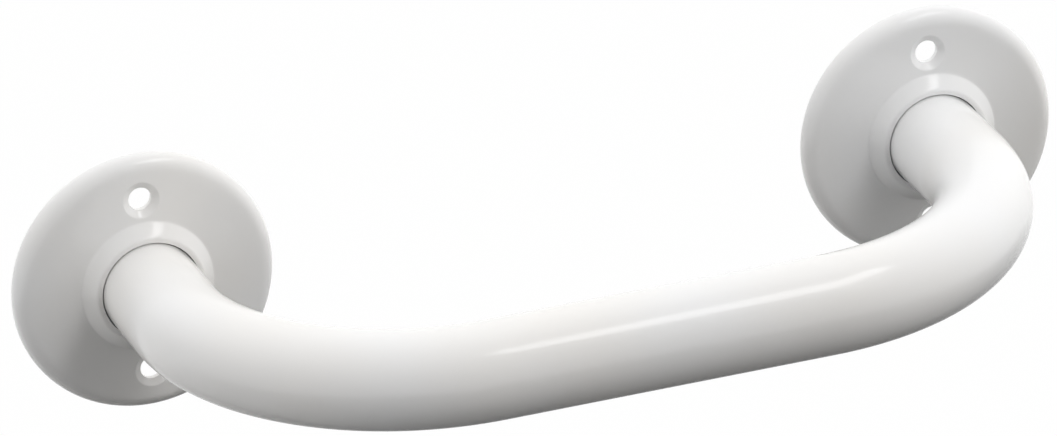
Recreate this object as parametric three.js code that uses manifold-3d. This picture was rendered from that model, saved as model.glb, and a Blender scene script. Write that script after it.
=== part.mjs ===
// A short grab bar for the wall beside a bathtub.
// One steel tube makes the grip, both bends and both legs. Each leg ends in a pressed sheet
// steel flange with two dimpled screw holes, and a ring fixed to the tube's end keeps the
// flange on. Until its screws are driven, a flange turns freely round its leg.
//
// Millimetres, +Z up. The wall is the plane y = 0 and the bar stands out from it towards -Y.
// The origin is on the wall, midway between the two flanges.

import * as THREE from 'three';
import { mergeVertices } from 'three/addons/utils/BufferGeometryUtils.js';
import Module from 'manifold-3d';

const wasm = await Module();
wasm.setup();

// The bar
const LEG_SPACING = 210;
const TUBE_DIAMETER = 25;
const TUBE_WALL = 1.5;
const GRIP_STANDOFF = 90;
const BEND_RADIUS = 62;

// The flange: widths run outwards from the tube, heights forwards from the wall
const SHEET = 1.5;
const LIP_WIDTH = 1.3;
const COLLAR_WIDTH = 3.1;
const FACE_WIDTH = 16.8;
const RIM_HEIGHT = 3.9;
const FACE_RISE = 1;
const COLLAR_RISE = 3.4;
const RIM_ROUND = 3.9;
const FOOT_ROUND = 1;
const CREST_ROUND = 1;

// The screw holes, each at the bottom of a dimple that takes the screw's head
const HOLES_PER_FLANGE = 2;
const SCREW_HOLE = 6;
const DIMPLE_DIAMETER = 10;
const DIMPLE_DEPTH = 1.2;
const DIMPLE_LAND = 0.4;
const SCREW_PLACE_SHARE = 0.345;

// How far down the collar's slope the ring behind it reaches
const RING_REACH_SHARE = 0.9;

// The flange turns on the tube and the ring, and the ring is fixed to the tube
const RUNNING_GAP = 0.3;
const FIXING_GAP = 0.3;
const CUT_OVERRUN = 1;

// Facets
const TUBE_SIDES = 28;
const BEND_STEP = THREE.MathUtils.degToRad(7.5);
const FLANGE_SIDES = 48;
const HOLE_SIDES = 16;
const ROUND_STEPS = 3;

// Sizes that follow from the ones above
const TUBE_RADIUS = TUBE_DIAMETER / 2;
const MOUTH_RADIUS = TUBE_RADIUS + RUNNING_GAP;
const CREST_RADIUS = MOUTH_RADIUS + LIP_WIDTH;
const FOOT_RADIUS = CREST_RADIUS + COLLAR_WIDTH;
const FLANGE_RADIUS = FOOT_RADIUS + FACE_WIDTH;
const FOOT_HEIGHT = RIM_HEIGHT + FACE_RISE;
const MOUTH_HEIGHT = FOOT_HEIGHT + COLLAR_RISE;
const SCREW_CIRCLE_RADIUS = FOOT_RADIUS + FACE_WIDTH * SCREW_PLACE_SHARE;
const SCREW_FACE_HEIGHT = FOOT_HEIGHT - FACE_RISE * SCREW_PLACE_SHARE;
const RING_BORE_RADIUS = TUBE_RADIUS + FIXING_GAP;

const WHITE_COATING = { color: '#f3f3f1', roughness: 0.18, metalness: 0 };
const ZINC_PLATE = { color: '#b9bcbe', roughness: 0.4, metalness: 1 };

// The tube's centre line from wall to wall: a straight leg, a quarter circle, the grip,
// a quarter circle and a straight leg.
class BarLine extends THREE.Curve {
  constructor() {
    super();
    this.leg = GRIP_STANDOFF - BEND_RADIUS;
    this.bend = BEND_RADIUS * Math.PI / 2;
    this.halfGrip = LEG_SPACING / 2 - BEND_RADIUS;
    this.total = 2 * (this.leg + this.bend + this.halfGrip);
  }

  getPoint(t, target = new THREE.Vector3()) {
    const fromLeft = t * this.total;
    const onLeft = fromLeft < this.total / 2;
    const side = onLeft ? -1 : 1;
    const fromWall = onLeft ? fromLeft : this.total - fromLeft;
    const pastLeg = fromWall - this.leg;
    if (pastLeg <= 0) {
      return target.set(side * LEG_SPACING / 2, -fromWall, 0);
    }
    if (pastLeg < this.bend) {
      const turned = pastLeg / BEND_RADIUS;
      const x = this.halfGrip + BEND_RADIUS * Math.cos(turned);
      return target.set(side * x, -this.leg - BEND_RADIUS * Math.sin(turned), 0);
    }
    return target.set(side * (this.halfGrip + this.bend - pastLeg), -GRIP_STANDOFF, 0);
  }
}

function circlePoints(radius) {
  return Array.from({ length: TUBE_SIDES }, (_, i) => {
    const angle = 2 * Math.PI * i / TUBE_SIDES;
    return new THREE.Vector2(radius * Math.cos(angle), radius * Math.sin(angle));
  });
}

function grabTube() {
  const section = new THREE.Shape(circlePoints(TUBE_RADIUS));
  section.holes.push(new THREE.Path(circlePoints(TUBE_RADIUS - TUBE_WALL)));
  const line = new BarLine();
  const steps = Math.ceil(line.total / (BEND_RADIUS * BEND_STEP));
  return new THREE.ExtrudeGeometry(section, { steps, extrudePath: line });
}

// A corner of a section: its radius from the leg's axis, its height off the wall, its round
function corner(radius, height, round = 0) {
  return { at: new THREE.Vector2(radius, height), round };
}

function headings(corners, i) {
  const last = corners.length - 1;
  const from = Math.min(i, last - 1);
  const leaving = corners[from + 1].at.clone().sub(corners[from].at).normalize();
  const back = Math.max(i, 1);
  const arriving = corners[back].at.clone().sub(corners[back - 1].at).normalize();
  return { arriving, leaving };
}

// The points of a line through corners, with an arc at each round one
function roundedLine(corners) {
  return corners.flatMap(({ at, round }, i) => {
    if (round === 0) {
      return [at];
    }
    const { arriving, leaving } = headings(corners, i);
    const turn = Math.atan2(arriving.cross(leaving), arriving.dot(leaving));
    const reach = round * Math.tan(Math.abs(turn) / 2);
    const inward = new THREE.Vector2(-arriving.y, arriving.x).multiplyScalar(Math.sign(turn) * round);
    const start = at.clone().addScaledVector(arriving, -reach);
    const centre = start.clone().add(inward);
    return Array.from({ length: ROUND_STEPS + 1 }, (_, k) => (
      start.clone().rotateAround(centre, turn * k / ROUND_STEPS)));
  });
}

// The same corners moved to the left of the way they run. A round becomes tighter on the
// inside of its turn and wider on the outside.
function movedLeft(corners, distance) {
  return corners.map(({ at, round }, i) => {
    const { arriving, leaving } = headings(corners, i);
    const sum = arriving.clone().add(leaving);
    const aside = new THREE.Vector2(-sum.y, sum.x).divideScalar(1 + arriving.dot(leaving));
    const growth = arriving.cross(leaving) > 0 ? -distance : distance;
    const moved = at.clone().addScaledVector(aside, distance);
    return corner(moved.x, moved.y, round === 0 ? 0 : Math.max(round + growth, 0));
  });
}

// Points of radius and height, turned about the leg's axis to stand on the wall
function turned(points, sides) {
  return new THREE.LatheGeometry(points, sides).rotateX(Math.PI);
}

function turnedRing(outline, sides) {
  return turned([...outline, outline[0]], sides);
}

// The flange's front from the wall to the mouth: over the round rim, up the shallow face,
// up the collar and in along the lip to the tube
const FRONT_CORNERS = [
  corner(FLANGE_RADIUS, 0),
  corner(FLANGE_RADIUS, RIM_HEIGHT, RIM_ROUND),
  corner(FOOT_RADIUS, FOOT_HEIGHT, FOOT_ROUND),
  corner(CREST_RADIUS, MOUTH_HEIGHT, CREST_ROUND),
  corner(MOUTH_RADIUS, MOUTH_HEIGHT),
];

function flangeSheet() {
  const front = roundedLine(FRONT_CORNERS);
  const back = roundedLine(movedLeft(FRONT_CORNERS, SHEET));
  return turnedRing([...front, ...back.reverse()], FLANGE_SIDES);
}

// A dimple as a solid cup round the screw's axis: its wall slopes out from the land round
// the hole to the face, and then stands up by a margin. Lowering it makes the cup's back.
function dimpleCup(lowered, margin) {
  const face = SCREW_FACE_HEIGHT - lowered;
  const floor = face - DIMPLE_DEPTH;
  return turned([
    new THREE.Vector2(0, floor),
    new THREE.Vector2(SCREW_HOLE / 2 + DIMPLE_LAND, floor),
    new THREE.Vector2(DIMPLE_DIAMETER / 2, face),
    new THREE.Vector2(DIMPLE_DIAMETER / 2, face + margin),
    new THREE.Vector2(0, face + margin),
  ], HOLE_SIDES);
}

function screwHole() {
  const top = SCREW_FACE_HEIGHT + CUT_OVERRUN;
  return turned([
    new THREE.Vector2(0, -CUT_OVERRUN),
    new THREE.Vector2(SCREW_HOLE / 2, -CUT_OVERRUN),
    new THREE.Vector2(SCREW_HOLE / 2, top),
    new THREE.Vector2(0, top),
  ], HOLE_SIDES);
}

function toSolid(geometry) {
  const bare = geometry.clone();
  bare.deleteAttribute('normal');
  bare.deleteAttribute('uv');
  const merged = mergeVertices(bare);
  return new wasm.Manifold(new wasm.Mesh({
    numProp: 3,
    vertProperties: new Float32Array(merged.attributes.position.array),
    triVerts: new Uint32Array(merged.index.array),
  }));
}

function toGeometry(solid) {
  const { vertProperties, triVerts } = solid.getMesh();
  const geometry = new THREE.BufferGeometry();
  geometry.setAttribute('position', new THREE.BufferAttribute(new Float32Array(vertProperties), 3));
  geometry.setIndex(new THREE.BufferAttribute(new Uint32Array(triVerts), 1));
  geometry.computeVertexNormals();
  return geometry;
}

// The sheet gets the back of each dimple first, then the dimple and its hole are cut.
// The first hole is straight above the leg.
function flange() {
  let solid = toSolid(flangeSheet());
  for (let i = 0; i < HOLES_PER_FLANGE; i += 1) {
    const angle = Math.PI / 2 + 2 * Math.PI * i / HOLES_PER_FLANGE;
    const x = SCREW_CIRCLE_RADIUS * Math.cos(angle);
    const z = SCREW_CIRCLE_RADIUS * Math.sin(angle);
    const back = toSolid(dimpleCup(SHEET, SHEET / 2).translate(x, 0, z));
    const front = toSolid(dimpleCup(0, CUT_OVERRUN).translate(x, 0, z));
    const hole = toSolid(screwHole().translate(x, 0, z));
    solid = solid.add(back).subtract(front).subtract(hole);
  }
  return toGeometry(solid);
}

// The ring fills the space behind the collar, and its slope follows the sheet's back
function retainingRing() {
  const [, , foot, crest] = movedLeft(FRONT_CORNERS, SHEET + RUNNING_GAP);
  const edge = crest.at.clone().lerp(foot.at, RING_REACH_SHARE);
  return turnedRing([
    new THREE.Vector2(RING_BORE_RADIUS, 0),
    new THREE.Vector2(edge.x, 0),
    edge,
    crest.at,
    new THREE.Vector2(RING_BORE_RADIUS, crest.at.y),
  ], FLANGE_SIDES);
}

function piece(name, geometry, finish, x = 0) {
  const mesh = new THREE.Mesh(geometry, new THREE.MeshStandardMaterial(finish));
  mesh.name = name;
  mesh.position.x = x;
  return mesh;
}

const grabBar = new THREE.Group();
grabBar.add(piece('grab_tube', grabTube(), WHITE_COATING));
for (const [side, x] of [['left', -LEG_SPACING / 2], ['right', LEG_SPACING / 2]]) {
  grabBar.add(piece(`${side}_flange`, flange(), WHITE_COATING, x));
  grabBar.add(piece(`${side}_retaining_ring`, retainingRing(), ZINC_PLATE, x));
}

export default grabBar;
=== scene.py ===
# %% [markdown]
# # A bathtub grab bar, modelled and finished in Blender
# The object is a short bar that is screwed to the wall beside a bathtub. One bent steel tube
# makes the grip, both bends and both legs. Each leg ends in a round pressed flange with two
# dimpled screw holes, and a plain ring on the tube's end, hidden behind the flange, keeps the
# flange from coming off. Tube and flanges wear a gloss white powder coating.
#
# The frame of solids comes first, because it says where every piece is and what it moves with.
# Lengths are in metres, +Z is up, the wall is the plane y = 0 and the bar stands out from it
# towards -Y. The origin is on the wall, midway between the flanges.

# %% Load the frame of solids
import math

import bmesh
import bpy
from mathutils import Matrix, Vector


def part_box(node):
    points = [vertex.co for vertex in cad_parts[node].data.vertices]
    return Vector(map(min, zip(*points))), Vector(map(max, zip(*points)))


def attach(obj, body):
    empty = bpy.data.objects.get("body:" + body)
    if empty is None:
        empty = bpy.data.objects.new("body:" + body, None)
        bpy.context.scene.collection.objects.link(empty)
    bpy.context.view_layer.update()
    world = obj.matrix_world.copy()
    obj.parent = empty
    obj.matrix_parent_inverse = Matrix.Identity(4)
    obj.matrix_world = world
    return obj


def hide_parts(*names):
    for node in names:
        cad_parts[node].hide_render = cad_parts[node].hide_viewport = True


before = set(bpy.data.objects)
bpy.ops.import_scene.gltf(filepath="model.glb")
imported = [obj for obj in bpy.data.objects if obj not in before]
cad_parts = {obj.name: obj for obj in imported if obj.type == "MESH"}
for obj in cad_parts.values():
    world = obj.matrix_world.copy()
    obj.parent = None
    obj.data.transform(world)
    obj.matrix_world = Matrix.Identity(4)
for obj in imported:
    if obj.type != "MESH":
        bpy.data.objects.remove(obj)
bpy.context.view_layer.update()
print("nodes:", sorted(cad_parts))

# %% [markdown]
# ## Sizes
# A piece has to lie where its solid lies, so the main sizes are read from the solids' boxes.
# What a box can't say, such as a wall's thickness or a bend's radius, is a named value in
# millimetres times MM. The flange's widths run outwards from the tube, and its heights run
# forwards from the wall.

# %% Sizes of the tube and the flange
MM = 0.001

tube_low, tube_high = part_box("grab_tube")
flange_low, flange_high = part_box("left_flange")
ring_low, ring_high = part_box("left_retaining_ring")

TUBE_RADIUS = tube_high.z
GRIP_STANDOFF = -tube_low.y - TUBE_RADIUS
LEG_X = (tube_high.x - tube_low.x) / 2 - TUBE_RADIUS
TUBE_WALL = 1.5 * MM
BEND_RADIUS = 62 * MM

SHEET = 1.5 * MM
RUNNING_GAP = 0.3 * MM
LIP_WIDTH = 1.3 * MM
COLLAR_WIDTH = 3.1 * MM
COLLAR_RISE = 3.4 * MM
COLLAR_CROWN = 0.06 * MM
FACE_RISE = 1 * MM
RIM_ROUND = 3.9 * MM
FOOT_ROUND = 0.7 * MM
CREST_ROUND = 1 * MM

FLANGE_RADIUS = (flange_high.x - flange_low.x) / 2
MOUTH_RADIUS = TUBE_RADIUS + RUNNING_GAP
CREST_RADIUS = MOUTH_RADIUS + LIP_WIDTH
FOOT_RADIUS = CREST_RADIUS + COLLAR_WIDTH
MOUTH_HEIGHT = -flange_low.y
FOOT_HEIGHT = MOUTH_HEIGHT - COLLAR_RISE
RIM_HEIGHT = FOOT_HEIGHT - FACE_RISE

COLLAR_SLOPE = math.atan2(COLLAR_RISE, COLLAR_WIDTH)
FACE_SLOPE = math.atan2(FACE_RISE, FLANGE_RADIUS - FOOT_RADIUS)

print(f"tube {2 * TUBE_RADIUS / MM:.1f} mm across, legs {2 * LEG_X / MM:.1f} mm apart, "
      f"grip {GRIP_STANDOFF / MM:.1f} mm off the wall")
print(f"flange {2 * FLANGE_RADIUS / MM:.1f} mm across and {MOUTH_HEIGHT / MM:.1f} mm high")

# %% [markdown]
# ## Camera
# The photograph was taken from the front left and a little above, from far enough away that the
# two flanges look nearly the same size, and with the camera turned a few degrees. A long lens
# at a long distance gives that flat look. The camera looks at a target point, and its three
# axes are worked out from its azimuth, elevation and roll, because a matrix built from axes
# has no order of turns to get wrong. Azimuths run from -Y towards +X, for the lights as well.

# %% Make the camera
CAMERA_TARGET = Vector((-9.7, -21, 6.2)) * MM
CAMERA_DISTANCE = 2471 * MM
CAMERA_AZIMUTH = math.radians(-18.41)
CAMERA_ELEVATION = math.radians(23.78)
CAMERA_ROLL = math.radians(-3.13)
CAMERA_LENS = 336.7
NEAREST_SEEN = 100 * MM
FARTHEST_SEEN = 100000 * MM


def direction(azimuth, elevation):
    """The unit vector towards an azimuth and an elevation."""
    return Vector((
        math.sin(azimuth) * math.cos(elevation),
        -math.cos(azimuth) * math.cos(elevation),
        math.sin(elevation),
    ))


def camera_axes(azimuth, elevation, roll):
    """The camera's right, up and back directions."""
    back = direction(azimuth, elevation)
    level_right = Vector((math.cos(azimuth), math.sin(azimuth), 0))
    level_up = back.cross(level_right)
    right = level_right * math.cos(roll) + level_up * math.sin(roll)
    return right, back.cross(right), back


right, up, back = camera_axes(CAMERA_AZIMUTH, CAMERA_ELEVATION, CAMERA_ROLL)
camera_data = bpy.data.cameras.new("camera")
camera_data.lens = CAMERA_LENS
camera_data.clip_start = NEAREST_SEEN
camera_data.clip_end = FARTHEST_SEEN
camera = bpy.data.objects.new("camera", camera_data)
bpy.context.scene.collection.objects.link(camera)
turn = Matrix((right, up, back)).transposed().to_4x4()
camera.matrix_world = Matrix.Translation(CAMERA_TARGET + back * CAMERA_DISTANCE) @ turn
bpy.context.scene.camera = camera
print("camera at", [round(x, 3) for x in camera.location])

# %% [markdown]
# ## Colours and nodes
# Colours are easiest to judge and to share as sRGB hex values, but shaders work with linear
# light, so one function turns the first into the second. A second small function adds a node,
# fills in its settings and values, and links its inputs, so that each material below reads as
# a list of what its nodes do. A noise's Detail is the number of finer waves on top of its own:
# 1 looks smooth and 4 looks cloudy.

# %% Helpers for colours and nodes
SMOOTH, SOFT, UNEVEN, CLOUDY = 1.0, 2.0, 3.0, 4.0


def linear(hex_colour):
    """An sRGB hex colour as linear red, green, blue and alpha, by the sRGB standard's curve."""
    channels = [int(hex_colour[i:i + 2], 16) / 255 for i in (1, 3, 5)]
    light = [c / 12.92 if c <= 0.04045 else ((c + 0.055) / 1.055) ** 2.4 for c in channels]
    return (*light, 1)


def add_node(tree, kind, settings=None, values=None, links=None):
    """Adds a node, with its settings, its sockets' values and the sockets linked to them."""
    node = tree.nodes.new(kind)
    for name, value in (settings or {}).items():
        setattr(node, name, value)
    for name, value in (values or {}).items():
        node.inputs[name].default_value = value
    for name, socket in (links or {}).items():
        tree.links.new(socket, node.inputs[name])
    return node


def new_material(name, values):
    """A material with one Principled BSDF, which gets the values, and its node tree."""
    material = bpy.data.materials.new(name)
    material.use_nodes = True
    tree = material.node_tree
    tree.nodes.clear()
    shader = add_node(tree, "ShaderNodeBsdfPrincipled", values=values)
    add_node(tree, "ShaderNodeOutputMaterial", links={"Surface": shader.outputs["BSDF"]})
    return material, tree, shader


print("middle grey is", [round(c, 3) for c in linear("#808080")[:3]])

# %% [markdown]
# ## Powder coating
# Epoxy powder is sprayed on dry, clings to the steel and melts into a thick, hard skin in the
# oven. It gives the eye three things: a white that is a trace warmer in places, a clear gloss
# like that of any plastic (an IOR of 1.5), and a faint orange peel, the low waves that the melt
# leaves when it sets. The waves are a millimetre or two long and only a few thousandths of a
# millimetre deep, so they bend reflections a little and don't show otherwise. Handling leaves
# the gloss slightly uneven, which a slow noise in the roughness gives. All patterns read Object
# coordinates, so they keep one real scale on every piece.

# %% Gloss white epoxy powder coating
COATING_IOR = 1.5
COATING_WARM = "#f3f1ee"
COATING_WHITE = "#f4f4f4"
TONE_PATCH = 60 * MM
TONE_STARTS, TONE_ENDS = 0.35, 0.65
COATING_SMOOTHEST, COATING_ROUGHEST = 0.11, 0.15
HANDLING_PATCH = 22 * MM
HANDLING_STARTS, HANDLING_ENDS = 0.3, 0.7
PEEL_WAVE = 1.8 * MM
PEEL_DEPTH = 0.004 * MM
PEEL_STRENGTH = 1.0


def white_powder_coating():
    """The coating of the tube's outside and of both flanges."""
    material, tree, shader = new_material("gloss_white_epoxy_powder_coating", {
        "IOR": COATING_IOR,
        "Metallic": 0.0,
    })
    place = add_node(tree, "ShaderNodeTexCoord").outputs["Object"]

    tone = add_node(tree, "ShaderNodeTexNoise",
                    values={"Scale": 1 / TONE_PATCH, "Detail": SOFT}, links={"Vector": place})
    colour = add_node(tree, "ShaderNodeValToRGB", links={"Fac": tone.outputs["Fac"]})
    start, end = colour.color_ramp.elements
    start.position, start.color = TONE_STARTS, linear(COATING_WARM)
    end.position, end.color = TONE_ENDS, linear(COATING_WHITE)
    tree.links.new(colour.outputs["Color"], shader.inputs["Base Color"])

    handling = add_node(tree, "ShaderNodeTexNoise",
                        values={"Scale": 1 / HANDLING_PATCH, "Detail": UNEVEN},
                        links={"Vector": place})
    rough = add_node(tree, "ShaderNodeMapRange",
                     values={"From Min": HANDLING_STARTS, "From Max": HANDLING_ENDS,
                             "To Min": COATING_SMOOTHEST, "To Max": COATING_ROUGHEST},
                     links={"Value": handling.outputs["Fac"]})
    tree.links.new(rough.outputs["Result"], shader.inputs["Roughness"])

    peel = add_node(tree, "ShaderNodeTexNoise",
                    values={"Scale": 1 / PEEL_WAVE, "Detail": SMOOTH}, links={"Vector": place})
    bump = add_node(tree, "ShaderNodeBump",
                    values={"Strength": PEEL_STRENGTH, "Distance": PEEL_DEPTH},
                    links={"Height": peel.outputs["Fac"]})
    tree.links.new(bump.outputs["Normal"], shader.inputs["Normal"])
    return material


coating = white_powder_coating()
print("made", coating.name)

# %% [markdown]
# ## Bare steel inside the tube
# Nothing coats the inside of the tube but the mist of powder that drifts in at its open ends.
# Drawn steel tube is a dull grey metal with fine scratches along its length. The powder covers
# it at the mouth and thins out over the first centimetre or so, so the material goes from white
# to metal with the depth from the wall, and a noise makes that edge ragged. The scratches are a
# noise that is stretched along the leg, by shortening the place along Y that it reads. Real ones
# are too fine to show in the render, so they are drawn coarser.

# %% Drawn steel with overspray
OVERSPRAY_WHITE = "#e9e9e6"
OVERSPRAY_DEPTH = 14 * MM
OVERSPRAY_BLUR = 9 * MM
OVERSPRAY_GRAIN = 4 * MM
STEEL_DARK, STEEL_PALE = "#77736d", "#9a968f"
STEEL_SMOOTHEST, STEEL_ROUGHEST = 0.38, 0.62
DRAW_LINE = 0.35 * MM
DRAW_SHORTENING = 0.05
DRAW_DEPTH = 0.01 * MM
DRAW_STRENGTH = 0.6


def drawn_steel():
    """The steel inside the tube, white with overspray near the wall."""
    material, tree, shader = new_material("drawn_steel_tube_bore", {})
    place = add_node(tree, "ShaderNodeTexCoord").outputs["Object"]
    axes = add_node(tree, "ShaderNodeSeparateXYZ", links={"Vector": place})

    ragged = add_node(tree, "ShaderNodeTexNoise",
                      values={"Scale": 1 / OVERSPRAY_GRAIN, "Detail": CLOUDY},
                      links={"Vector": place})
    wander = add_node(tree, "ShaderNodeMath", {"operation": "MULTIPLY_ADD"},
                      {1: OVERSPRAY_BLUR, 2: -OVERSPRAY_BLUR / 2},
                      {0: ragged.outputs["Fac"]})
    depth = add_node(tree, "ShaderNodeMath", {"operation": "SUBTRACT"},
                     links={0: wander.outputs["Value"], 1: axes.outputs["Y"]})
    bare = add_node(tree, "ShaderNodeMapRange",
                    values={"From Min": OVERSPRAY_DEPTH - OVERSPRAY_BLUR,
                            "From Max": OVERSPRAY_DEPTH},
                    links={"Value": depth.outputs["Value"]})
    tree.links.new(bare.outputs["Result"], shader.inputs["Metallic"])

    stretch = add_node(tree, "ShaderNodeMapping", values={"Scale": (1, DRAW_SHORTENING, 1)},
                       links={"Vector": place})
    lines = add_node(tree, "ShaderNodeTexNoise",
                     values={"Scale": 1 / DRAW_LINE, "Detail": SOFT},
                     links={"Vector": stretch.outputs["Vector"]})
    steel = add_node(tree, "ShaderNodeMix", {"data_type": "RGBA"},
                     {"A": linear(STEEL_DARK), "B": linear(STEEL_PALE)},
                     {"Factor": lines.outputs["Fac"]})
    colour = add_node(tree, "ShaderNodeMix", {"data_type": "RGBA"},
                      {"A": linear(OVERSPRAY_WHITE)},
                      {"Factor": bare.outputs["Result"], "B": steel.outputs["Result"]})
    tree.links.new(colour.outputs["Result"], shader.inputs["Base Color"])
    rough = add_node(tree, "ShaderNodeMapRange",
                     values={"To Min": STEEL_SMOOTHEST, "To Max": STEEL_ROUGHEST},
                     links={"Value": lines.outputs["Fac"]})
    tree.links.new(rough.outputs["Result"], shader.inputs["Roughness"])
    bump = add_node(tree, "ShaderNodeBump",
                    values={"Strength": DRAW_STRENGTH, "Distance": DRAW_DEPTH},
                    links={"Height": lines.outputs["Fac"]})
    tree.links.new(bump.outputs["Normal"], shader.inputs["Normal"])
    return material


bore_steel = drawn_steel()
print("made", bore_steel.name)

# %% [markdown]
# ## Zinc plate on the retaining rings
# The ring behind each flange was turned on a lathe and then zinc plated. The lathe leaves fine
# grooves round the ring's axis, and the plating a pale blue grey with patches that are a little
# duller. Both rings share one material: the two axes lie at the same distance on either side
# of the origin, so the distance from the nearer axis needs only the size of x, not its sign.

# %% Turned and zinc-plated steel
ZINC_BLUE, ZINC_PALE = "#b4bac0", "#c9cdcf"
ZINC_SMOOTHEST, ZINC_ROUGHEST = 0.28, 0.46
PLATING_PATCH = 5 * MM
TURNING_PITCH = 0.25 * MM
TURNING_DEPTH = 0.02 * MM
TURNING_STRENGTH = 0.5


def zinc_plate():
    """The finish of both retaining rings."""
    material, tree, shader = new_material("zinc_plated_turned_steel", {"Metallic": 1.0})
    place = add_node(tree, "ShaderNodeTexCoord").outputs["Object"]
    axes = add_node(tree, "ShaderNodeSeparateXYZ", links={"Vector": place})
    far = add_node(tree, "ShaderNodeMath", {"operation": "ABSOLUTE"},
                   links={0: axes.outputs["X"]})
    across = add_node(tree, "ShaderNodeMath", {"operation": "SUBTRACT"}, {1: LEG_X},
                      {0: far.outputs["Value"]})
    from_axis = add_node(tree, "ShaderNodeCombineXYZ",
                         links={"X": across.outputs["Value"], "Y": axes.outputs["Z"]})
    radius = add_node(tree, "ShaderNodeVectorMath", {"operation": "LENGTH"},
                      links={0: from_axis.outputs["Vector"]})

    grooves = add_node(tree, "ShaderNodeTexNoise", {"noise_dimensions": "1D"},
                       {"Scale": 1 / TURNING_PITCH, "Detail": SMOOTH},
                       {"W": radius.outputs["Value"]})
    bump = add_node(tree, "ShaderNodeBump",
                    values={"Strength": TURNING_STRENGTH, "Distance": TURNING_DEPTH},
                    links={"Height": grooves.outputs["Fac"]})
    tree.links.new(bump.outputs["Normal"], shader.inputs["Normal"])

    patches = add_node(tree, "ShaderNodeTexNoise",
                       values={"Scale": 1 / PLATING_PATCH, "Detail": CLOUDY},
                       links={"Vector": place})
    colour = add_node(tree, "ShaderNodeMix", {"data_type": "RGBA"},
                      {"A": linear(ZINC_BLUE), "B": linear(ZINC_PALE)},
                      {"Factor": patches.outputs["Fac"]})
    tree.links.new(colour.outputs["Result"], shader.inputs["Base Color"])
    rough = add_node(tree, "ShaderNodeMapRange",
                     values={"To Min": ZINC_SMOOTHEST, "To Max": ZINC_ROUGHEST},
                     links={"Value": patches.outputs["Fac"]})
    tree.links.new(rough.outputs["Result"], shader.inputs["Roughness"])
    return material


zinc = zinc_plate()
print("made", zinc.name)

# %% [markdown]
# ## Tools for modelling
# Every piece is modelled as by hand, with Blender's own operators: a primitive, then edit mode.
# An operator works on whatever is selected, so each step first selects what it means. The
# helpers below start a piece, select it, apply its modifiers, measure it and hand it to the body
# that it moves with.

# %% Helpers for modelling
NEAR = 0.01 * MM
QUARTER_TURN = math.pi / 2


def start_piece(name):
    """Takes the primitive that was just added as a new piece, with its place in its mesh."""
    piece = bpy.context.object
    piece.name = name
    piece.data.name = name
    bpy.ops.object.transform_apply(location=True, rotation=True, scale=True)
    return piece


def select_only(piece):
    """Makes a piece the one selected and active object."""
    bpy.ops.object.select_all(action="DESELECT")
    piece.select_set(True)
    bpy.context.view_layer.objects.active = piece


def apply_modifier(piece, kind, **settings):
    """Adds a modifier to the piece and applies it at once."""
    select_only(piece)
    modifier = piece.modifiers.new(kind.lower(), kind)
    for name, value in settings.items():
        setattr(modifier, name, value)
    bpy.ops.object.modifier_apply(modifier=modifier.name)


def box_in_mm(piece):
    """The low and the high corner of a piece's box, in millimetres."""
    low_corner, high_corner = piece.bound_box[0], piece.bound_box[6]
    return [round(x / MM, 2) for x in (*low_corner, *high_corner)]


def count_triangles(piece):
    """The number of triangles that the piece's faces make."""
    return sum(len(polygon.vertices) - 2 for polygon in piece.data.polygons)


def hand_over(piece, body, node):
    """The piece stands in for a node, which is hidden, and moves with its body."""
    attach(piece, body)
    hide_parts(node)
    print(f"{piece.name}: {count_triangles(piece)} triangles")


print("places are compared to within", round(NEAR / MM, 3), "mm")

# %% [markdown]
# ## The tube
# A tube bender makes the real one from a straight length, so its section stays a circle all the
# way. A curve with a bevel would also do, but modelling it as it is bent is as short: a circle
# at the end of the left leg, extruded along the leg, spun round the bend's centre, extruded
# along the grip, and so on to the wall again.

# %% Bend the tube
TUBE_SIDES = 96
BEND_STEPS = 36


def bend_tube():
    """Extrudes and spins a circle from the left leg's end to the right one's."""
    bpy.ops.object.select_all(action="DESELECT")
    bpy.ops.mesh.primitive_circle_add(
        vertices=TUBE_SIDES, radius=TUBE_RADIUS, location=(-LEG_X, 0, 0),
        rotation=(QUARTER_TURN, 0, 0))
    tube = start_piece("white_grab_tube")
    leg = GRIP_STANDOFF - BEND_RADIUS
    half_grip = LEG_X - BEND_RADIUS

    bpy.ops.object.mode_set(mode="EDIT")
    bpy.ops.mesh.select_all(action="SELECT")
    bpy.ops.mesh.extrude_region_move(TRANSFORM_OT_translate={"value": (0, -leg, 0)})
    bpy.ops.mesh.spin(steps=BEND_STEPS, angle=-QUARTER_TURN, center=(-half_grip, -leg, 0),
                      axis=(0, 0, 1))
    bpy.ops.mesh.extrude_region_move(TRANSFORM_OT_translate={"value": (2 * half_grip, 0, 0)})
    bpy.ops.mesh.spin(steps=BEND_STEPS, angle=-QUARTER_TURN, center=(half_grip, -leg, 0),
                      axis=(0, 0, 1))
    bpy.ops.mesh.extrude_region_move(TRANSFORM_OT_translate={"value": (0, leg, 0)})
    bpy.ops.mesh.select_all(action="SELECT")
    bpy.ops.mesh.remove_doubles(threshold=NEAR)
    bpy.ops.mesh.normals_make_consistent(inside=False)
    bpy.ops.object.mode_set(mode="OBJECT")
    return tube


tube = bend_tube()
print("tube, low and high corner:", box_in_mm(tube))

# %% [markdown]
# Solidify gives the tube its wall, inwards, and the new faces inside get the second material,
# the bare steel. A bevel that acts only on edges sharper than an angle then rounds the sawn
# ends. Shading is smooth wherever two faces meet at less than another angle.

# %% Give the tube its wall
END_ROUND = 0.3 * MM
END_SEGMENTS = 3
CUT_ANGLE = 60
TUBE_SMOOTH_ANGLE = 40

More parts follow.
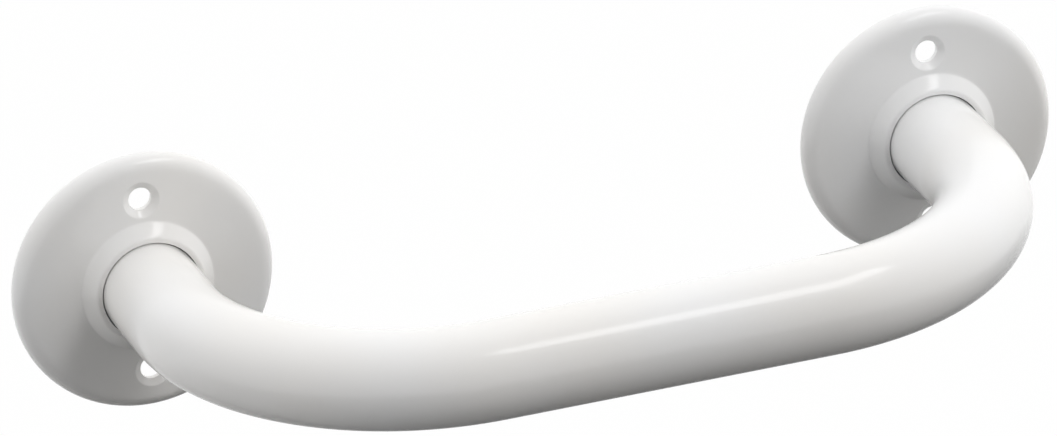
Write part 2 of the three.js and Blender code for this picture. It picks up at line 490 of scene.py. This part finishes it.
tube.data.materials.append(coating)
tube.data.materials.append(bore_steel)
apply_modifier(tube, "SOLIDIFY", thickness=TUBE_WALL, offset=-1, use_even_offset=True,
               material_offset=1)
apply_modifier(tube, "BEVEL", width=END_ROUND, segments=END_SEGMENTS, limit_method="ANGLE",
               angle_limit=math.radians(CUT_ANGLE))
bpy.ops.object.shade_smooth_by_angle(angle=math.radians(TUBE_SMOOTH_ANGLE))
hand_over(tube, "bar", "grab_tube")

# %% [markdown]
# ## The flange
# The real flange is pressed from a steel disc. Its section runs from the tube outwards: a narrow
# lip, the slope of the collar, which is slightly crowned, the wide face that falls away very
# slightly, and a full round rim that reaches back to the wall. Spinning a drawn section would
# work as well, but pulling one ring of edges from corner to corner keeps every corner ring easy
# to find again, and a bevel then gives each one its press radius. It is modelled flat, with its
# axis along Z, and stood up against the wall at the end.

# %% Pull the flange's section outwards ring by ring
FLANGE_SIDES = 120
CROWN_STEPS = 4


def pull_ring(rise, centre, growth):
    """Extrudes the selected ring, lifts it by a rise and scales it about its new centre."""
    bpy.ops.mesh.extrude_region_move(TRANSFORM_OT_translate={"value": (0, 0, rise)})
    bpy.ops.transform.resize(value=growth, center_override=centre)


def flange_section():
    """The corners of the flange's front, as radius and height, from its mouth to the wall."""
    crest = Vector((CREST_RADIUS, MOUTH_HEIGHT))
    foot = Vector((FOOT_RADIUS, FOOT_HEIGHT))
    outwards = Vector((math.sin(COLLAR_SLOPE), math.cos(COLLAR_SLOPE)))
    collar = []
    for step in range(CROWN_STEPS + 1):
        share = step / CROWN_STEPS
        bulge = COLLAR_CROWN * 4 * share * (1 - share)  # a parabola, highest halfway down
        collar.append(crest.lerp(foot, share) + outwards * bulge)
    mouth = Vector((MOUTH_RADIUS, MOUTH_HEIGHT))
    rim = Vector((FLANGE_RADIUS, RIM_HEIGHT))
    return [mouth, *collar, rim, Vector((FLANGE_RADIUS, 0))]


def pull_flange(corners):
    """Pulls a circle from corner to corner, and leaves the flange in edit mode."""
    here = corners[0]
    bpy.ops.object.select_all(action="DESELECT")
    bpy.ops.mesh.primitive_circle_add(vertices=FLANGE_SIDES, radius=here.x,
                                      location=(0, 0, here.y))
    flange = start_piece("white_left_flange")
    bpy.ops.object.mode_set(mode="EDIT")
    bpy.ops.mesh.select_all(action="SELECT")
    for corner in corners[1:]:
        growth = corner.x / here.x
        pull_ring(corner.y - here.y, (0, 0, corner.y), (growth, growth, 1))
        here = corner
    return flange


flange_corners = flange_section()
flange = pull_flange(flange_corners)
print("corners of the section:", [(round(r / MM, 2), round(h / MM, 2))
                                  for r, h in flange_corners])

# %% [markdown]
# Every corner ring can now be selected by its radius and height, and bevelled. A press radius
# touches both sides of its corner at the radius times the tangent of half the turn, so that is
# the width that the bevel gets. The wide face between the collar and the rim is then cut into
# rings, because the dimples need faces of a fair shape round them.

# %% Round the corners and divide the face
CREST, FOOT, RIM = 1, 1 + CROWN_STEPS, 2 + CROWN_STEPS
CREST_SEGMENTS, FOOT_SEGMENTS, RIM_SEGMENTS = 3, 3, 7
FACE_RINGS = 8


def select_where(piece, kind, is_wanted):
    """In edit mode, selects the edges or the faces that pass a test, and counts them."""
    bpy.ops.mesh.select_mode(type=kind)
    bpy.ops.mesh.select_all(action="DESELECT")
    mesh = bmesh.from_edit_mesh(piece.data)
    parts = mesh.edges if kind == "EDGE" else mesh.faces
    wanted = [part for part in parts if is_wanted(part)]
    for part in wanted:
        part.select_set(True)
    mesh.select_flush_mode()
    bmesh.update_edit_mesh(piece.data)
    return len(wanted)


def ring_radius(vertex):
    """How far a vertex lies from the flange's axis."""
    return vertex.co.xy.length


def is_ring(radius, height):
    """A test for the edges of the ring that lies at a radius and a height."""
    def test(edge):
        return all(abs(ring_radius(v) - radius) < NEAR and abs(v.co.z - height) < NEAR
                   for v in edge.verts)
    return test


def round_width(corner, round_radius):
    """How far a press radius reaches from a corner of the section along each side of it."""
    before, here, after = flange_corners[corner - 1:corner + 2]
    return round_radius * math.tan((here - before).angle(after - here) / 2)


def crosses_face(edge):
    """Whether an edge runs across the wide face."""
    across = abs(ring_radius(edge.verts[0]) - ring_radius(edge.verts[1]))
    return across > (FACE_END - FACE_START) / 2


def round_corner(piece, corner, round_radius, segments):
    """Bevels a corner ring to a press radius."""
    select_where(piece, "EDGE", is_ring(*flange_corners[corner]))
    bpy.ops.mesh.bevel(offset=round_width(corner, round_radius), segments=segments,
                       affect="EDGES")


round_corner(flange, CREST, CREST_ROUND, CREST_SEGMENTS)
round_corner(flange, FOOT, FOOT_ROUND, FOOT_SEGMENTS)
round_corner(flange, RIM, RIM_ROUND, RIM_SEGMENTS)

FACE_START = FOOT_RADIUS + round_width(FOOT, FOOT_ROUND) * math.cos(FACE_SLOPE)
FACE_END = FLANGE_RADIUS - round_width(RIM, RIM_ROUND) * math.cos(FACE_SLOPE)
crossing = select_where(flange, "EDGE", crosses_face)
bpy.ops.mesh.subdivide(number_cuts=FACE_RINGS - 1)
print(f"the face runs from {FACE_START / MM:.2f} to {FACE_END / MM:.2f} mm, "
      f"{crossing} edges cross it")

# %% [markdown]
# ## Thickness
# So far the flange is a skin. Solidify gives it the sheet's thickness, towards the wall. That
# comes before the dimples, because a skin that is offset square to itself would fold over
# itself behind a dimple's tight edge, where real sheet just gets a little thinner.

# %% Give the flange its sheet
bpy.ops.mesh.select_all(action="SELECT")
bpy.ops.mesh.normals_make_consistent(inside=False)
bpy.ops.object.mode_set(mode="OBJECT")
front_area = sum(face.normal.z * face.area for face in flange.data.polygons)
print("the front faces out:", front_area > 0)
apply_modifier(flange, "SOLIDIFY", thickness=SHEET, offset=-1, use_even_offset=True)

# %% [markdown]
# ## The dimples
# A punch pushes a shallow dimple into the face round each screw hole, so that the screw's head
# sinks in. Its section is drawn first, from its edge inwards: the round that the punch leaves
# where it enters the face, the slope, a small round at its foot, and a narrow land round the
# hole. Each point is a radius from the screw's axis and a drop below the face.

# %% The section of a dimple
HOLE_RADIUS = 3 * MM
DIMPLE_LAND = 0.1 * MM
DIMPLE_DEPTH = 1.2 * MM
DIMPLE_SLOPE = math.radians(37)
EDGE_PRESS_ROUND = 0.7 * MM
EDGE_PRESS_STEPS = 4
FLOOR_PRESS_ROUND = 0.2 * MM
FLOOR_PRESS_STEPS = 3


def press_round(radius, drop, slope_in, slope_out, round_radius, steps):
    """The points of an arc that rounds a corner, going inwards from one slope to another."""
    reach = round_radius * math.tan(abs(slope_out - slope_in) / 2)
    start_radius = radius + reach * math.cos(slope_in)
    start_drop = drop - reach * math.sin(slope_in)
    bend = math.copysign(round_radius, slope_out - slope_in)
    slopes = [slope_in + (slope_out - slope_in) * step / steps for step in range(steps + 1)]
    return [(start_radius - bend * (math.sin(slope) - math.sin(slope_in)),
             start_drop + bend * (math.cos(slope_in) - math.cos(slope))) for slope in slopes]


def dimple_section():
    """The rings of a dimple, as radius and drop, from its edge to the hole."""
    floor_radius = HOLE_RADIUS + DIMPLE_LAND
    edge_radius = floor_radius + DIMPLE_DEPTH / math.tan(DIMPLE_SLOPE)
    edge = press_round(edge_radius, 0, 0, DIMPLE_SLOPE, EDGE_PRESS_ROUND, EDGE_PRESS_STEPS)
    land = press_round(floor_radius, DIMPLE_DEPTH, DIMPLE_SLOPE, 0, FLOOR_PRESS_ROUND,
                       FLOOR_PRESS_STEPS)
    return [*edge, *land, (HOLE_RADIUS, DIMPLE_DEPTH)]


dimple_rings = dimple_section()
print("a dimple's rings:", [(round(r / MM, 2), round(d / MM, 2)) for r, d in dimple_rings])

# %% [markdown]
# A boolean would cut the dimple, but leaves long thin faces that show as streaks in a gloss
# surface. So a window is taken out of the face, a circle with as many edges as the window has
# is put in its middle, leaning as the face leans, and the two are bridged. The circle is then
# pulled in ring by ring along the dimple's section. The upper rings lean with the face, and the
# lower ones lie flat, parallel to the wall. The same is done on the back, one sheet lower, and a
# last bridge between the front and the back makes the wall of the hole.

# %% Punch the dimples
SCREW_PLACE_SHARE = 0.345
SCREW_CIRCLE_RADIUS = FOOT_RADIUS + (FLANGE_RADIUS - FOOT_RADIUS) * SCREW_PLACE_SHARE
SCREW_FACE_HEIGHT = FOOT_HEIGHT - FACE_RISE * SCREW_PLACE_SHARE
WINDOW_SIDES = 14
BRIDGE_CUTS = 3


def is_open(edge):
    """Whether an edge still lacks a face on one side."""
    return len(edge.link_faces) < 2


def punch_side(piece, side, lowered, facing):
    """Presses one surface of the dimple above the leg (side 1) or below it (side -1)."""
    centre = Vector((0, side * SCREW_CIRCLE_RADIUS, SCREW_FACE_HEIGHT - lowered))
    half_window = math.pi * WINDOW_SIDES / FLANGE_SIDES
    first_radius, drop_now = dimple_rings[0]

    def in_window(face):
        place = face.calc_center_median()
        on_face = FACE_START < place.xy.length < FACE_END and face.normal.z * facing > 0
        return on_face and place.xy.angle(centre.xy) < half_window

    def is_outside_hole(edge):
        return (edge.verts[0].co.xy - centre.xy).length > HOLE_RADIUS + NEAR

    def on_circle(edge):
        return is_open(edge) and all(
            abs((v.co - centre).length - first_radius) < NEAR for v in edge.verts)

    select_where(piece, "FACE", in_window)
    bpy.ops.mesh.delete(type="FACE")
    bpy.ops.mesh.primitive_circle_add(
        vertices=2 * (WINDOW_SIDES + FACE_RINGS), radius=first_radius, location=centre,
        rotation=(-side * FACE_SLOPE, 0, 0))
    select_where(piece, "EDGE", lambda edge: is_open(edge) and is_outside_hole(edge))
    bpy.ops.mesh.bridge_edge_loops(number_cuts=BRIDGE_CUTS, interpolation="LINEAR")
    select_where(piece, "EDGE", on_circle)
    radius_now = first_radius
    for radius, drop in dimple_rings[1:]:
        growth = radius / radius_now
        leans_with_face = drop < DIMPLE_DEPTH / 2
        centre -= Vector((0, 0, drop - drop_now))
        pull_ring(drop_now - drop, centre, (growth, growth, growth if leans_with_face else 0))
        radius_now, drop_now = radius, drop


for side in (1, -1):
    bpy.ops.object.mode_set(mode="EDIT")
    punch_side(flange, side, lowered=0, facing=1)
    front_edges = select_where(flange, "EDGE", is_open)
    punch_side(flange, side, lowered=SHEET, facing=-1)
    hole_edges = select_where(flange, "EDGE", is_open)
    bpy.ops.mesh.bridge_edge_loops()
    bpy.ops.object.mode_set(mode="OBJECT")
    print("open edges after the front:", front_edges, "and after the back:", hole_edges)

# %% [markdown]
# ## Coated edges and smoothing
# A bevel rounds the cut edges at the mouth, the holes and the wall, because powder never leaves
# a sharp edge, and a subdivision surface makes every round flow. Last the flange is stood up: a
# quarter turn brings its axis to -Y, and it goes to its leg.

# %% Finish the left flange
EDGE_ROUND = 0.2 * MM
EDGE_SEGMENTS = 2
EDGE_ANGLE = 62
SUBDIVISIONS = 1
FLANGE_SMOOTH_ANGLE = 50


def stand_up(piece, smooth_angle):
    """Turns a piece's axis from Z to -Y, moves it to the left leg and shades it smooth."""
    piece.rotation_euler = (QUARTER_TURN, 0, 0)
    piece.location = (-LEG_X, 0, 0)
    bpy.ops.object.transform_apply(location=True, rotation=True, scale=True)
    bpy.ops.object.shade_smooth_by_angle(angle=math.radians(smooth_angle))


bpy.ops.object.mode_set(mode="EDIT")
bpy.ops.mesh.select_all(action="SELECT")
bpy.ops.mesh.normals_make_consistent(inside=False)
bpy.ops.object.mode_set(mode="OBJECT")
apply_modifier(flange, "BEVEL", width=EDGE_ROUND, segments=EDGE_SEGMENTS,
               limit_method="ANGLE", angle_limit=math.radians(EDGE_ANGLE))
apply_modifier(flange, "SUBSURF", levels=SUBDIVISIONS, render_levels=SUBDIVISIONS)
stand_up(flange, FLANGE_SMOOTH_ANGLE)
flange.data.materials.append(coating)
print("left flange, low and high corner:", box_in_mm(flange))

# %% [markdown]
# The two flanges came from one press, so the right one is a copy with its own mesh, moved along
# the wall by the distance between the legs.

# %% Copy the flange to the right leg
def copy_to_right(piece, name):
    """Copies a piece of the left leg, with a mesh of its own, to the right leg."""
    select_only(piece)
    bpy.ops.object.duplicate(linked=False)
    copied = bpy.context.object
    copied.name = name
    copied.data.name = name
    copied.location = (2 * LEG_X, 0, 0)
    bpy.ops.object.transform_apply(location=True, rotation=False, scale=False)
    return copied


right_flange = copy_to_right(flange, "white_right_flange")
hand_over(flange, "left_flange", "left_flange")
hand_over(right_flange, "right_flange", "right_flange")

# %% [markdown]
# ## The retaining rings
# Behind each collar, a ring sits tight on the tube's end. Its front is a cone that follows the
# back of the collar, so the flange can turn on it but not come off. The cone's upper corner lies
# on the line that halves the collar's upper corner, as an even gap asks. The ring is pulled out
# ring by ring like the flange, with its five corners in a closed loop.

# %% Turn the retaining rings
RING_SIDES = 96
RING_FIT = 0.02 * MM
RING_CHAMFER = 0.25 * MM
CHAMFER_SEGMENTS = 2
CHAMFER_ANGLE = 30
RING_SMOOTH_ANGLE = 25


def turn_ring():
    """Pulls the left ring from corner to corner and closes it."""
    bore = TUBE_RADIUS + RING_FIT
    outer = (ring_high.x - ring_low.x) / 2
    top = -ring_low.y
    behind = MOUTH_HEIGHT - top
    crest = CREST_RADIUS - behind * math.tan(COLLAR_SLOPE / 2)
    shoulder = top - (outer - crest) * math.tan(COLLAR_SLOPE)
    ring_corners = [(crest, top), (outer, shoulder), (outer, 0), (bore, 0), (bore, top)]

    bpy.ops.object.select_all(action="DESELECT")
    bpy.ops.mesh.primitive_circle_add(vertices=RING_SIDES, radius=bore, location=(0, 0, top))
    ring = start_piece("zinc_left_retaining_ring")
    bpy.ops.object.mode_set(mode="EDIT")
    bpy.ops.mesh.select_all(action="SELECT")
    radius_now, height_now = bore, top
    for radius, height in ring_corners:
        growth = radius / radius_now
        pull_ring(height - height_now, (0, 0, height), (growth, growth, 1))
        radius_now, height_now = radius, height
    bpy.ops.mesh.select_all(action="SELECT")
    bpy.ops.mesh.remove_doubles(threshold=NEAR)
    bpy.ops.mesh.normals_make_consistent(inside=False)
    bpy.ops.object.mode_set(mode="OBJECT")
    return ring


ring = turn_ring()
apply_modifier(ring, "BEVEL", width=RING_CHAMFER, segments=CHAMFER_SEGMENTS,
               limit_method="ANGLE", angle_limit=math.radians(CHAMFER_ANGLE))
stand_up(ring, RING_SMOOTH_ANGLE)
ring.data.materials.append(zinc)
print("left ring, low and high corner:", box_in_mm(ring))
right_ring = copy_to_right(ring, "zinc_right_retaining_ring")
hand_over(ring, "bar", "left_retaining_ring")
hand_over(right_ring, "bar", "right_retaining_ring")

# %% [markdown]
# ## Floor and background
# The bar floats in its photograph on plain white, so the pale floor lies well below it. A camera
# ray, a mirror ray and a ray through glass all see the world at full white and the floor at
# nearly full white, with a small part of its own shading. A diffuse ray sees the floor's own
# colour, so the floor throws light back at the bar as any pale floor does.

# %% Pale floor
FLOOR_DROP = 350 * MM
FLOOR_SIZE = 6000 * MM
FLOOR_COLOUR = "#e6e6e4"
WHITE_SHARE = 0.98
MATT = 0.9
WHITE = (1, 1, 1, 1)


def seen_directly(tree):
    """Is 1 for a ray that shows the background: from the camera, a mirror or through glass."""
    path = add_node(tree, "ShaderNodeLightPath")
    mirrored = add_node(tree, "ShaderNodeMath", {"operation": "MAXIMUM"},
                        links={0: path.outputs["Is Camera Ray"],
                               1: path.outputs["Is Glossy Ray"]})
    return add_node(tree, "ShaderNodeMath", {"operation": "MAXIMUM"},
                    links={0: mirrored.outputs["Value"],
                           1: path.outputs["Is Transmission Ray"]}).outputs["Value"]


def painted_floor():
    """Matt paint, of which a direct look sees little but even white."""
    material, tree, shader = new_material("matt_painted_floor", {
        "Base Color": linear(FLOOR_COLOUR),
        "Roughness": MATT,
    })
    glow = add_node(tree, "ShaderNodeEmission", values={"Color": WHITE})
    share = add_node(tree, "ShaderNodeMath", {"operation": "MULTIPLY"}, {1: WHITE_SHARE},
                     {0: seen_directly(tree)})
    mixed = add_node(tree, "ShaderNodeMixShader",
                     links={0: share.outputs["Value"], 1: shader.outputs["BSDF"],
                            2: glow.outputs["Emission"]})
    output = tree.nodes["Material Output"]
    tree.links.new(mixed.outputs["Shader"], output.inputs["Surface"])
    return material


def lay_plane(name, size, middle, material):
    """Lays a square sheet flat round a middle, as part of the stage."""
    bpy.ops.object.select_all(action="DESELECT")
    bpy.ops.mesh.primitive_plane_add(size=size, location=middle)
    sheet = bpy.context.object
    sheet.name = name
    sheet.data.materials.append(material)
    return sheet


lay_plane("floor", FLOOR_SIZE, (0, 0, -FLOOR_DROP), painted_floor())
print("floor", round(FLOOR_DROP / MM), "mm below the bar's axis")

# %% [markdown]
# A grey card lies under the bar, as a photographer puts black card beside a white thing. It
# keeps the floor's light off the underside and gives the lower edges something dark to reflect,
# or they would melt into the background. The card fades to clear behind the wall plane, because
# the upper edges mirror what lies straight behind them, and that has to be white, and because
# the end of a plain card would show as a line in the gloss. The camera doesn't see it.

# %% Grey card
CARD_COLOUR = "#505050"
CARD_DROP = 150 * MM
CARD_SIZE = 1000 * MM
CARD_BACK = 220 * MM
CARD_FADE = 220 * MM


def fading_card():
    """Grey card that turns clear towards its back edge, measured from the card's own middle."""
    material, tree, shader = new_material("matt_grey_card", {
        "Base Color": linear(CARD_COLOUR),
        "Roughness": MATT,
    })
    place = add_node(tree, "ShaderNodeTexCoord").outputs["Object"]
    axes = add_node(tree, "ShaderNodeSeparateXYZ", links={"Vector": place})
    fade = add_node(tree, "ShaderNodeMapRange",
                    values={"From Min": CARD_SIZE / 2 - CARD_FADE, "From Max": CARD_SIZE / 2},
                    links={"Value": axes.outputs["Y"]})
    clear = add_node(tree, "ShaderNodeBsdfTransparent")
    mixed = add_node(tree, "ShaderNodeMixShader",
                     links={0: fade.outputs["Result"], 1: shader.outputs["BSDF"],
                            2: clear.outputs["BSDF"]})
    output = tree.nodes["Material Output"]
    tree.links.new(mixed.outputs["Shader"], output.inputs["Surface"])
    return material


card = lay_plane("grey_card", CARD_SIZE, (0, CARD_BACK - CARD_SIZE / 2, -CARD_DROP),
                 fading_card())
card.visible_camera = False
card.visible_shadow = False
print("grey card", round(CARD_DROP / MM), "mm below the bar's axis")

# %% [markdown]
# ## Light
# White goods on white are usually lit in a tent of thin cloth: the light comes from everywhere,
# but more of it from where the lamps stand outside the cloth. So the world is a dark dome with
# soft glows. A glow is strength times exp(tightness * (c - 1)), where c is the cosine of the
# angle to its middle, so it is full in the middle, and a greater tightness makes it fade faster.
# The lamp at the front right is the tightest, because the legs' shadows on the flanges have an
# edge that can be seen. The glows add up to about white on the sides that face one, so the
# coating shows its own colour from the back as well as from the front.

# %% A tent of light
# name, azimuth and elevation in degrees, strength, tightness
TENT_GLOWS = [
    ("behind", 180, 35, 2.2, 8),
    ("above and behind", 154, 68, 3.2, 30),
    ("left", -90, 5, 3.0, 8),
    ("right", 90, 5, 1.75, 8),
    ("front right", 45, 35, 1.42, 8),
    ("front right lamp", 39, 48, 10.5, 120),
]


def light_tent():
    """A world whose strength is the sum of the glows, and that looks plain white."""
    world = bpy.data.worlds.new("light_tent")
    world.use_nodes = True
    tree = world.node_tree
    tree.nodes.clear()
    view = add_node(tree, "ShaderNodeTexCoord").outputs["Generated"]
    light = add_node(tree, "ShaderNodeValue").outputs["Value"]  # the sum starts at 0
    for name, azimuth, elevation, strength, tightness in TENT_GLOWS:
        middle = direction(math.radians(azimuth), math.radians(elevation))
        closeness = add_node(tree, "ShaderNodeVectorMath",
                             {"operation": "DOT_PRODUCT", "label": name}, {1: middle}, {0: view})
        power = add_node(tree, "ShaderNodeMath", {"operation": "MULTIPLY_ADD"},
                         {1: tightness, 2: math.log(strength) - tightness},
                         {0: closeness.outputs["Value"]})
        glow = add_node(tree, "ShaderNodeMath", {"operation": "EXPONENT"},
                        links={0: power.outputs["Value"]})
        light = add_node(tree, "ShaderNodeMath", {"operation": "ADD"},
                         links={0: glow.outputs["Value"], 1: light}).outputs["Value"]
    dome = add_node(tree, "ShaderNodeBackground", values={"Color": WHITE},
                    links={"Strength": light})
    white = add_node(tree, "ShaderNodeBackground", values={"Color": WHITE, "Strength": 1.0})
    mixed = add_node(tree, "ShaderNodeMixShader",
                     links={0: seen_directly(tree), 1: dome.outputs["Background"],
                            2: white.outputs["Background"]})
    add_node(tree, "ShaderNodeOutputWorld", links={"Surface": mixed.outputs["Shader"]})
    return world


bpy.context.scene.world = light_tent()
print("glows:", [name for name, *_ in TENT_GLOWS])

# %% [markdown]
# A long soft box hangs in front, to the right and above, and lies aslant. It lights little, but
# the gloss coating mirrors it as the thin streak along the grip, which bends up at its right
# end, and as the bright spots on the collars, the rims and the dimples.

# %% The lamp that makes the streak
STRIP_START = Vector((330, -900, 1250)) * MM
STRIP_END = Vector((814, -197, 1320)) * MM
STRIP_WIDTH = 260 * MM
STRIP_WATTS = 2.5


def hang_strip_lamp():
    """Hangs the soft box between its two ends and turns its front to the grip."""
    grip_middle = Vector((0, -GRIP_STANDOFF, 0))
    middle = (STRIP_START + STRIP_END) / 2
    back = (middle - grip_middle).normalized()
    across = back.cross(STRIP_END - STRIP_START).normalized()
    along = across.cross(back)
    data = bpy.data.lights.new("strip_soft_box", "AREA")
    data.shape = "RECTANGLE"
    data.size = (STRIP_END - STRIP_START).length
    data.size_y = STRIP_WIDTH
    data.energy = STRIP_WATTS
    lamp = bpy.data.objects.new("strip_soft_box", data)
    bpy.context.scene.collection.objects.link(lamp)
    turn = Matrix((along, across, back)).transposed().to_4x4()
    lamp.matrix_world = Matrix.Translation(middle) @ turn
    return lamp


strip_lamp = hang_strip_lamp()
print("strip lamp", round(strip_lamp.data.size / MM), "mm long")

# %% [markdown]
# ## Colour management
# The Standard view shows a colour as it is written. The visual model has to stay inside the
# solids' box.

# %% Set the view transform
bpy.context.scene.view_settings.view_transform = "Standard"
bpy.context.view_layer.update()
